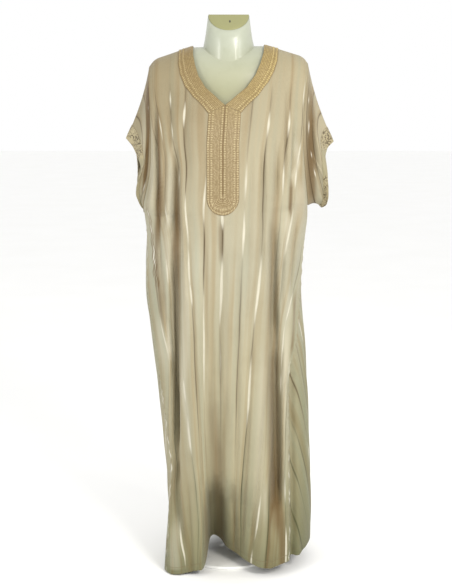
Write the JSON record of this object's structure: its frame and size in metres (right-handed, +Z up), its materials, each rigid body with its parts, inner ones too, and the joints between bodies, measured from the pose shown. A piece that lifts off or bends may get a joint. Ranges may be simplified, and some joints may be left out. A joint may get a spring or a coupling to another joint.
{
  "type": "djellaba on a dress form",
  "caption": "Ankle-length short-sleeved djellaba with a braided V neck and bib, worn by a limbless dress form on a round stand.",
  "frame": {"origin": "centre of the underside of the stand's base", "axes": "+Z up along the post towards the neck, -Y towards the front of the garment, +X towards the viewer's right when facing the front"},
  "size_m": [0.554, 0.3551, 1.4956],
  "materials": {
    "cloth": "fine beige crepe with narrow satin stripes along its length",
    "braid": "golden tan cord braid sewn in close rows, satin sheen",
    "form": "smooth cream plastic with a soft shine",
    "neck_cut": "flat olive plate in the neck's slanted cut",
    "stand": "white enamel"
  },
  "bodies": {
    "root": {"front_panel": "cloth", "back_panel": "cloth", "sleeve_left": "cloth", "sleeve_right": "cloth", "cuff_trim_left": "cloth", "cuff_trim_right": "cloth", "neck_band_left": "braid", "neck_band_right": "braid", "neck_band_back": "braid", "bib": "braid", "dress_form": "form", "neck_cap": "neck_cut", "stand_base": "stand", "stand_post": "stand"}
  },
  "joints": []
}
